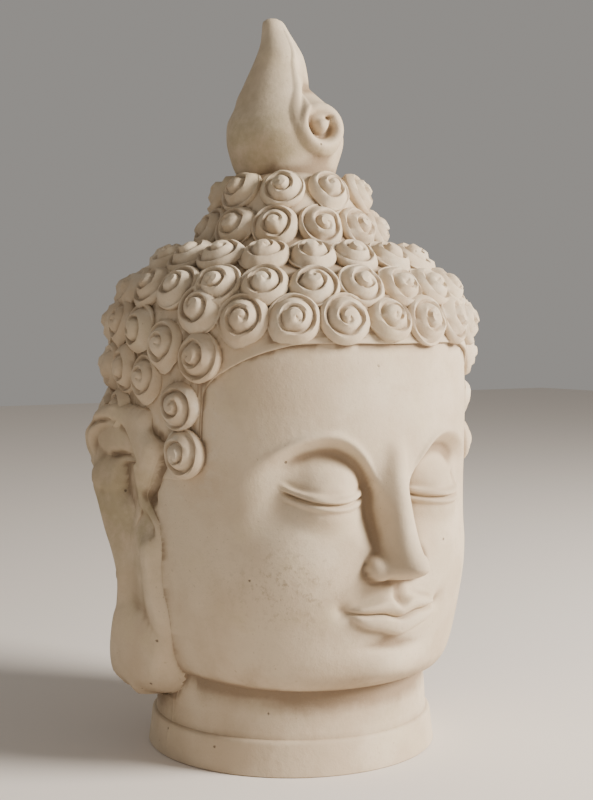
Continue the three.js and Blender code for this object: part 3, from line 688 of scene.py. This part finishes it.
class Nodes:
    # short ways to add and join shader nodes
    def __init__(self, material):
        material.use_nodes = True
        self.tree = material.node_tree
        self.shader = self.tree.nodes["Principled BSDF"]
        self.place = self.add("ShaderNodeTexCoord").outputs["Object"]

    def link(self, value, socket):
        if isinstance(value, bpy.types.NodeSocket):
            self.tree.links.new(value, socket)
        elif value is not None:
            socket.default_value = value

    def add(self, kind, *values, **settings):
        made = self.tree.nodes.new(kind)
        for name, value in settings.items():
            setattr(made, name, value)
        for i, value in enumerate(values):
            self.link(value, made.inputs[i])
        return made

    def math(self, operation, *values):
        return self.add("ShaderNodeMath", *values, operation=operation).outputs[0]

    def smooth(self, value, low, high):
        made = self.add("ShaderNodeMapRange", value, low, high, 0.0, 1.0, interpolation_type="SMOOTHSTEP")
        return made.outputs[0]

    def attribute(self, name):
        return self.add("ShaderNodeAttribute", attribute_name=name).outputs["Fac"]

    def noise(self, scale, detail=4.0, rough=0.55):
        made = self.add("ShaderNodeTexNoise", self.place, noise_dimensions="3D")
        made.inputs["Scale"].default_value = scale
        made.inputs["Detail"].default_value = detail
        made.inputs["Roughness"].default_value = rough
        return made.outputs["Fac"]

    def dots(self, scale, low, high):
        made = self.add("ShaderNodeTexVoronoi", self.place, feature="F1")
        made.inputs["Scale"].default_value = scale
        return self.smooth(made.outputs["Distance"], low, high)

    def mix(self, share, under, over):
        made = self.tree.nodes.new("ShaderNodeMix")
        made.data_type = "RGBA"
        for name, value in (("Factor_Float", share), ("A_Color", under), ("B_Color", over)):
            self.link(value, next(s for s in made.inputs if s.identifier == name))
        return next(s for s in made.outputs if s.identifier == "Result_Color")


stone = dict(
    # colours
    shade=(0.545, 0.430, 0.300, 1), light=(0.640, 0.528, 0.385, 1), cloud=(0.47, 0.37, 0.255, 1),
    olive=(0.34, 0.285, 0.165, 1), bloom=(0.72, 0.68, 0.59, 1), cream=(0.64, 0.535, 0.36, 1),
    # the brown on the next line paints dirt together with painted shade in the hollows and under the jaw
    flecks=(0.31, 0.235, 0.15, 1), specks=(0.30, 0.225, 0.15, 1), dirtAndShade=(0.225, 0.155, 0.095, 1),
    holes=(0.12, 0.085, 0.055, 1), grain=(0.40, 0.32, 0.23, 1),
    # how much of each shows
    cloudShare=0.35, oliveShare=0.6, bloomShare=0.5, creamShare=0.4, flecksShare=0.7, specksShare=0.45,
    dirtAndShadeShare=0.85, holesShare=0.75, grainShare=0.18,
    bumpStrength=0.55, bumpDistance=0.0012,
)


def stoneMaterial():
    # cast stone: cream with slow blotches, brown dirt and painted shade in the hollows and under the jaw,
    # olive and pale stains, painted shade in olive under the flame's swell, flecks and pinholes
    made = bpy.data.materials.new("cast_stone")
    n = Nodes(made)
    blotch, cloud, grain = n.noise(22, 5), n.noise(75, 6, 0.65), n.noise(1100, 2)
    holes = n.math("MULTIPLY", n.dots(62, 0.06, 0.035), n.smooth(n.noise(31, 2), 0.47, 0.53))
    # dirt and painted shade: the hollows, and faces turned down under the jaw
    dirtAndShade = n.math("ADD", n.attribute("recess"), n.math("MULTIPLY", n.attribute("under"), 0.4))
    fine = n.smooth(n.noise(620, 2, 0.6), 0.66, 0.74)
    layers = dict(
        cloud=n.smooth(cloud, 0.5, 0.74),
        # olive stain, and painted shade in olive under the flame's swell
        olive=n.math("MULTIPLY", n.attribute("olive"), n.smooth(cloud, 0.3, 0.62)),
        bloom=n.math("MULTIPLY", n.attribute("bloom"), n.smooth(n.noise(120, 3), 0.48, 0.66)),
        cream=n.smooth(n.noise(38, 4, 0.6), 0.52, 0.70),
        flecks=n.math("MULTIPLY", n.attribute("flecks"), n.smooth(n.noise(260, 5, 0.75), 0.50, 0.66)),
        specks=n.math("MULTIPLY", fine, n.smooth(blotch, 0.44, 0.6)),
        # dirt with painted shade in the hollows and under the jaw
        dirtAndShade=n.smooth(n.math("MULTIPLY", dirtAndShade, n.math("ADD", cloud, 0.55)), 0.06, 0.95),
        holes=holes,
        grain=n.smooth(grain, 0.55, 0.75),
    )
    colour = n.mix(n.smooth(blotch, 0.36, 0.66), stone["shade"], stone["light"])
    for name, amount in layers.items():
        colour = n.mix(n.math("MULTIPLY", amount, stone[name + "Share"]), colour, stone[name])
    n.link(colour, n.shader.inputs["Base Color"])
    n.link(n.add("ShaderNodeMapRange", cloud, 0.3, 0.7, 0.74, 0.92).outputs[0], n.shader.inputs["Roughness"])
    n.shader.inputs["Specular IOR Level"].default_value = 0.3
    surface = n.math("ADD", n.math("MULTIPLY", grain, 0.12), n.math("MULTIPLY", n.noise(260, 4), 0.34))
    surface = n.math("SUBTRACT", surface, n.math("MULTIPLY", holes, 1.4))
    bump = n.add("ShaderNodeBump")
    n.link(stone["bumpStrength"], bump.inputs["Strength"])
    n.link(stone["bumpDistance"], bump.inputs["Distance"])
    n.link(surface, bump.inputs["Height"])
    n.link(bump.outputs["Normal"], n.shader.inputs["Normal"])
    return made


addMasks(cast.data)
cast.data.materials.append(stoneMaterial())

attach(cast, "root")
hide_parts(castNode)
print("stone: laid on", cast.name)

studio = dict(floorReach=3.0, floorColour=(0.80, 0.735, 0.67, 1), floorRoughness=0.9,  # metres
              sky=(1.0, 0.955, 0.90, 1), skyStrength=0.3, aim=(0, 0, 0.2))


def makeFloor():
    # a level square under the head
    reach = studio["floorReach"]
    corners = [(-reach, -reach, 0), (reach, -reach, 0), (reach, reach, 0), (-reach, reach, 0)]
    mesh = bpy.data.meshes.new("floor")
    mesh.from_pydata(corners, [], [(0, 1, 2, 3)])
    made = bpy.data.objects.new("floor", mesh)
    bpy.context.scene.collection.objects.link(made)
    paint = bpy.data.materials.new("floor_paint")
    paint.use_nodes = True
    shader = paint.node_tree.nodes["Principled BSDF"]
    shader.inputs["Base Color"].default_value = studio["floorColour"]
    shader.inputs["Roughness"].default_value = studio["floorRoughness"]
    mesh.materials.append(paint)
    return made


ground = makeFloor()

world = bpy.data.worlds.new("studio")
world.use_nodes = True
world.node_tree.nodes["Background"].inputs[0].default_value = studio["sky"]
world.node_tree.nodes["Background"].inputs[1].default_value = studio["skyStrength"]
bpy.context.scene.world = world


def areaLight(name, place, size, power, colour):
    # a round lamp that looks at the aim
    lamp = bpy.data.lights.new(name, "AREA")
    lamp.shape = "DISK"
    lamp.size = size
    lamp.energy = power
    lamp.color = colour
    made = bpy.data.objects.new(name, lamp)
    made.location = place
    made.rotation_euler = (Vector(studio["aim"]) - Vector(place)).to_track_quat("-Z", "Y").to_euler()
    bpy.context.scene.collection.objects.link(made)
    return made


areaLight("key", place=(1.0, -1.15, 0.85), size=0.6, power=76, colour=(1, 0.95, 0.88))
areaLight("fill", place=(-1.3, -0.4, 0.6), size=1.0, power=1, colour=(1, 0.97, 0.93))
print("floor and", len(bpy.data.lights), "lamps")

# where the camera stands, and how far it looks down and aside, as slopes
view = dict(turn=math.radians(-33), distance=777 * unit, height=231 * unit, lens=63.0,
            down=78 / 1400, aside=5.5 / 1400)
cam = bpy.data.cameras.new("camera")
cam.lens = view["lens"]
camera = bpy.data.objects.new("camera", cam)
outwards = Vector((math.sin(view["turn"]), -math.cos(view["turn"]), 0))
camera.location = outwards * view["distance"] + Vector((0, 0, view["height"]))
camera.rotation_euler = (math.pi / 2 - math.atan(view["down"]), 0, view["turn"] - math.atan(view["aside"]))
bpy.context.scene.collection.objects.link(camera)
bpy.context.scene.camera = camera
